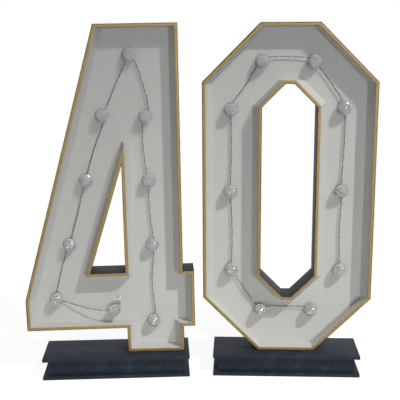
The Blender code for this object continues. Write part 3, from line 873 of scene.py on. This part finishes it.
def beside(light, goal):
    """Where the cord comes clear of a light's lens on its way to a goal."""
    way = light.inverted() @ goal
    way.z = 0
    return light @ (way.normalized() * wire_exit + Vector((0, 0, wire_height)))


def string_points(lights, bows):
    """The cord's points from light to light, moved aside by the bows at the start, midway and at the end."""
    points = []
    for start, end, shifts in zip(lights, lights[1:], bows):
        leaves, enters = beside(start, inside(end)), beside(end, inside(start))
        run = (inside(end) - inside(start)).normalized()
        aside = Vector((run.z, 0, -run.x))
        stretch = (leaves, (leaves + enters) / 2, enters)
        points += [inside(start)] + [spot + aside * shift for spot, shift in zip(stretch, shifts)]
    return points + [inside(lights[-1])]


def lead_points(hole, x, height):
    """The cord's way straight through the panel at a spot, and behind it down to the case's top."""
    back = panel_back + lead_height
    case_top = height + seat_height + case_height / 2
    crossing = hole.y + lead_rise
    depths = (panel_setback - wire_diameter, panel_setback, panel_back, panel_back + wire_diameter)
    return [Vector((hole.x, depth, hole.y)) for depth in depths] + [
        Vector((hole.x - lead_height, back, hole.y + lead_height)),
        Vector(((hole.x + x) / 2, back, crossing)),
        Vector((x + lead_rise / 2, back, crossing)),
        Vector((x, back, (case_top + crossing) / 2)),
        Vector((x, back, case_top + fit_gap)),
    ]


def smooth_route(points):
    """A curve through the points, read at even steps, and how far along it each step is.

    Between two points runs the cubic whose slope at each is half the way from the one before it
    to the one after it.
    """
    spots = np.array([tuple(point) for point in points])
    spots = np.concatenate([spots[:1], spots, spots[-1:]])
    before, start, end, after = spots[:-3], spots[1:-2], spots[2:-1], spots[3:]
    t = np.linspace(0, 1, route_parts, endpoint=False)[None, :, None]
    before, start, end, after = (part[:, None, :] for part in (before, start, end, after))
    bend = (2 * before - 5 * start + 4 * end - after) * t**2 + (3 * (start - end) + after - before) * t**3
    route = np.concatenate([(start + ((end - before) * t + bend) / 2).reshape(-1, 3), spots[-1:]])
    run = np.concatenate([[0], np.cumsum(np.linalg.norm(np.diff(route, axis=0), axis=1))])
    even = np.linspace(0, run[-1], int(run[-1] / route_step))
    return np.stack([np.interp(even, run, route[:, axis]) for axis in range(3)], axis=1), even


def twisted_pair(skin, points, side_hint):
    """Two strands twisted about a route.

    At distance s the strands' middles stand strand_radius off the route, at the angle
    2 pi s / twist_pitch and opposite it, and each strand is a round tube about its middle.
    side_hint is a direction that the route never runs along, to measure the angles from.
    """
    route, run = smooth_route(points)
    ahead = np.gradient(route, axis=0)
    ahead /= np.linalg.norm(ahead, axis=1, keepdims=True)
    side = side_hint - ahead * (ahead @ side_hint)[:, None]
    side /= np.linalg.norm(side, axis=1, keepdims=True)
    over = np.cross(ahead, side)
    turn = np.linspace(0, 2 * math.pi, strand_sides + 1)
    for paint, half_turn in enumerate((0, math.pi)):
        angle = 2 * math.pi * run / twist_pitch + half_turn
        across = strand_radius * (np.cos(angle)[:, None] + np.cos(turn)[None, :])
        up = strand_radius * (np.sin(angle)[:, None] + np.sin(turn)[None, :])
        tube = route[:, None, :] + across[..., None] * side[:, None, :] + up[..., None] * over[:, None, :]
        skin.grid(tube, paint, caps=True)


def twisted_cord(digit_name, string, lead, place):
    """A digit's cord, a dark and a pale strand: the string in front of the panel and the lead behind it."""
    skin = Skin()
    twisted_pair(skin, string, np.array((0.0, 1.0, 0.0)))
    twisted_pair(skin, lead, np.array((1.0, 0.0, 1.0)) / math.sqrt(2))
    plastics = (cord_plastic, pale_cord_plastic)
    cord = skin.piece(f"{digit_name}_twisted_cord", place, plastics, sharp=math.radians(70))
    finished(cord, "sign", "light_wire", f"{digit_name}_light_string")


def rounded_slab(low, high):
    """A slab with rounded edges and corners, as a grid of points that caps close at both ends.

    Each point is the nearest corner of the slab drawn in by arris_radius, plus that radius along
    a direction that swings round by longitude and from the underside to the top by latitude.
    """
    low, high = np.array(low) + arris_radius, np.array(high) - arris_radius
    points = arris_steps + 1
    quarter = np.linspace(0, math.pi / 2, points)
    around = np.concatenate([quarter + k * math.pi / 2 for k in range(4)] + [quarter[:1]])
    lift = np.concatenate([quarter - math.pi / 2, quarter])[:, None]
    across_x = np.append(np.repeat((1, -1, -1, 1), points), 1)
    across_y = np.append(np.repeat((1, 1, -1, -1), points), 1)
    up = np.repeat((-1, 1), points)[:, None]
    signs = np.stack(np.broadcast_arrays(across_x, across_y, up), axis=-1)
    middle = (low + high) / 2 + signs * (high - low) / 2
    way = (np.cos(lift) * np.cos(around), np.cos(lift) * np.sin(around), np.sin(lift))
    return middle + arris_radius * np.stack(np.broadcast_arrays(*way), axis=-1)


def plinth(digit_name, shift, place):
    """Two boards with a block between them, each a slab with softened edges."""
    left, right = -shift - plinth_width / 2, -shift + plinth_width / 2
    front, back = -plinth_front_margin, plinth_depth - plinth_front_margin
    inset = plinth_block_inset
    block_floor = plinth_board_thickness + fit_gap
    block_top = block_floor + plinth_block_height
    top_floor = block_top + fit_gap
    slabs = {
        "base": ((left, front, 0), (right, back, plinth_board_thickness)),
        "block": ((left + inset, front + inset, block_floor), (right - inset, back - inset, block_top)),
        "top": ((left, front, top_floor), (right, back, top_floor + plinth_board_thickness)),
    }
    for name, (low, high) in slabs.items():
        skin = Skin()
        skin.grid(rounded_slab(low, high), caps=True)
        slab = skin.piece(f"{digit_name}_plinth_{name}_painted", place, (navy,))
        finished(slab, "sign", "navy_board", f"{digit_name}_plinth_{name}")


def dress(node_name, material):
    """Give a CAD node that stays in view its finish."""
    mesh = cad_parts[node_name].data
    mesh.materials.clear()
    mesh.materials.append(material)


def every_digit():
    """Both digits, dressed: boards, eye frames, beads, panels, lights, cords, plinths and battery cases."""
    edge_boards("zero", zero_rim, zero_edge_names, zero_frame)
    edge_boards("four", four_rim, four_edge_names, four_frame)
    eye_frame("zero", zero_eye(), zero_frame)
    eye_frame("four", four_eye(), four_frame)
    zero_widths = {zero_edge_names.index(name): width for name, width in zero_beaded.items()}
    four_widths = {four_edge_names.index(name): width for name, width in four_beaded.items()}
    corner_beads("zero", zero_frame, zero_rim, zero_widths, zero_eye(), zero_eye_beaded)
    corner_beads("four", four_frame, four_rim, four_widths, four_eye(), four_eye_beaded)
    plinth("zero", 0, zero_frame)
    plinth("four", four_plinth_shift, four_stand)

    zero_set, four_set = zero_lights(), four_lights()
    zero_hole = zero_set[-1].to_translation().xz
    hole_x, hole_height = beam_spot(four_cable_hole_shares)
    four_hole = Vector((hole_x, hole_height + seat_height))
    below_plug = four_hole - Vector((0, four_plug_radius + fit_gap / 2))
    lenses("zero", zero_set, zero_frame)
    lenses("four", four_set, four_frame)
    sockets("zero", zero_set, zero_frame)
    sockets("four", four_set, four_frame)
    zero_lead = lead_points(zero_hole, -zero_case_shift, stem_half)
    four_lead = lead_points(below_plug, -stem_half - four_case_shift, four_foot_height + stem_half / 2)
    zero_string = string_points(zero_set, zero_wire_bows)
    four_start = [four_lead[0], beside(four_set[0], four_lead[0])]
    four_string = four_start + string_points(four_set, four_wire_bows)
    twisted_cord("zero", zero_string, [inside(zero_set[-1])] + zero_lead, zero_frame)
    twisted_cord("four", four_string, four_lead, four_frame)
    dress("zero_panel", painted_panel("zero_hardboard_panel", zero_frame, zero_hole, zero_cable_hole_radius))
    dress("four_panel", painted_panel("four_hardboard_panel", four_frame, four_hole, four_cable_hole_radius))
    dress("four_cable_plug", wood)
    for digit_name in ("four", "zero"):
        dress(f"{digit_name}_battery_case", case_plastic)
        dress(f"{digit_name}_battery_cover", case_plastic)
        dress(f"{digit_name}_battery_pack", sleeve)
        dress(f"{digit_name}_switch_knob", knob_plastic)


# The studio: floor, lamps, world and camera

def seen_plain(material):
    """An output that is 1 for the camera, gloss and glass, and 0 for all other rays."""
    ray = node(material, "ShaderNodeLightPath")
    shiny = node(
        material, "ShaderNodeMath", {"operation": "MAXIMUM"},
        in_0=ray.outputs["Is Glossy Ray"], in_1=ray.outputs["Is Transmission Ray"],
    )
    seen = node(
        material, "ShaderNodeMath", {"operation": "MAXIMUM"},
        in_0=ray.outputs["Is Camera Ray"], in_1=shiny.outputs["Value"],
    )
    return seen.outputs["Value"]


def white_paper_floor():
    """White seamless paper. The camera, gloss and glass see it at the white of the background.

    It keeps the object's shadow there.
    """
    material, shader = new_material("white_seamless_paper")
    spot = node(material, "ShaderNodeTexCoord").outputs["Object"]
    fibres = node(material, "ShaderNodeTexNoise", Vector=spot, Scale=1 / 0.002, Detail=2.0)
    bumps = node(material, "ShaderNodeBump", Height=fibres.outputs["Fac"], Strength=0.1, Distance=0.0002)
    glow = node(material, "ShaderNodeEmission", Color="#ffffff", Strength=0.90)
    paper = node(material, "ShaderNodeBsdfDiffuse", Color="#a0a0a0", Normal=bumps.outputs["Normal"])
    lit = node(material, "ShaderNodeAddShader", in_0=glow.outputs["Emission"], in_1=paper.outputs["BSDF"])
    feed(material, shader, Base_Color="#e4e4e2", Roughness=0.9)
    mixed = node(
        material, "ShaderNodeMixShader",
        in_0=seen_plain(material), in_1=shader.outputs["BSDF"], in_2=lit.outputs["Shader"],
    )
    feed(material, material.node_tree.nodes["Material Output"], Surface=mixed.outputs["Shader"])
    return material


floor_reach = 1.4
floor_drop = 0.0002


def paper_floor():
    """The paper under the object: a flat sheet a few metres across."""
    across = np.linspace(-floor_reach, floor_reach, 3)
    x, y = np.meshgrid(across, across, indexing="ij")
    skin = Skin()
    skin.grid(np.stack([x, y, 0 * x - floor_drop], axis=-1))
    sheet = skin.piece("paper_floor", Matrix.Identity(4), (white_paper_floor(),))


beam_distance = 20.0
beam_aim = (0.50, 0.0, -0.15)
beam_cone = math.radians(11.5)


def lamp(name, kind, towards, energy, colour, **settings):
    """A lamp that stands in the direction towards, beam_distance from beam_aim, and shines at it."""
    data = bpy.data.lights.new(name, kind)
    data.energy = energy
    data.color = hex_colour(colour)[:3]
    for key, value in settings.items():
        setattr(data, key, value)
    thing = bpy.data.objects.new(name, data)
    way = Vector(towards).normalized()
    thing.location = Vector(beam_aim) + way * beam_distance
    thing.rotation_euler = way.to_track_quat("Z", "Y").to_euler()
    bpy.context.scene.collection.objects.link(thing)


def sun(name, towards, strength, angle, colour):
    """A soft lamp whose light is even all over. Seen from the object it is a disc, angle across."""
    lamp(name, "SUN", towards, strength, colour, angle=angle)


def beam(name, towards, power, size, colour):
    """A lamp whose round soft-edged beam is brightest at the foot of the zero, so the far top is dimmer.

    Seen from the object its disc is size across, as an angle.
    """
    soft = beam_distance * size / 2
    lamp(name, "SPOT", towards, power, colour, spot_size=beam_cone, spot_blend=1.0, shadow_soft_size=soft)


def studio_world():
    """Even soft light from all round. The camera, gloss and glass see it as plain white."""
    world = bpy.data.worlds.new("studio")
    bpy.context.scene.world = world
    world.use_nodes = True
    world.node_tree.nodes.clear()
    soft = node(world, "ShaderNodeBackground", Color="#eef3fc", Strength=0.02)
    plain = node(world, "ShaderNodeBackground", Color="#ffffff", Strength=1.0)
    mixed = node(
        world, "ShaderNodeMixShader",
        in_0=seen_plain(world), in_1=soft.outputs["Background"], in_2=plain.outputs["Background"],
    )
    node(world, "ShaderNodeOutputWorld", Surface=mixed.outputs["Shader"])


camera_spot = (0.0086, -2.7909, 1.2607)
camera_lens = 70.74
camera_sensor = 36.0
camera_tilt = math.radians(12.29)
camera_roll = math.radians(-0.38)


def camera():
    """The camera, in front of the pair at the height of their tops, tilted down and rolled a little."""
    data = bpy.data.cameras.new("camera")
    data.lens = camera_lens
    data.sensor_width = camera_sensor
    thing = bpy.data.objects.new("camera", data)
    level = Matrix.Rotation(math.radians(90) - camera_tilt, 4, "X")
    thing.matrix_world = Matrix.Translation(camera_spot) @ level @ Matrix.Rotation(camera_roll, 4, "Z")
    bpy.context.scene.collection.objects.link(thing)
    bpy.context.scene.camera = thing


every_digit()
paper_floor()
beam("key_lamp", (1.05, -1.0, 1.74), 9800, math.radians(1.6), "#fffffb")
beam("front_lamp", (0.27, -1.0, 0.07), 21000, math.radians(17), "#f7f9ff")
sun("overhead_softbox", (0.1, -0.3, 1.0), 0.50, math.radians(80), "#fffbe4")
sun("back_softbox", (0.3, 1.0, 0.12), 0.60, math.radians(80), "#ffffff")
sun("left_lamp", (-1.0, -1.0, 0.05), 0.15, math.radians(5), "#f4f8ff")
studio_world()
camera()
bpy.context.scene.view_settings.view_transform = "Standard"
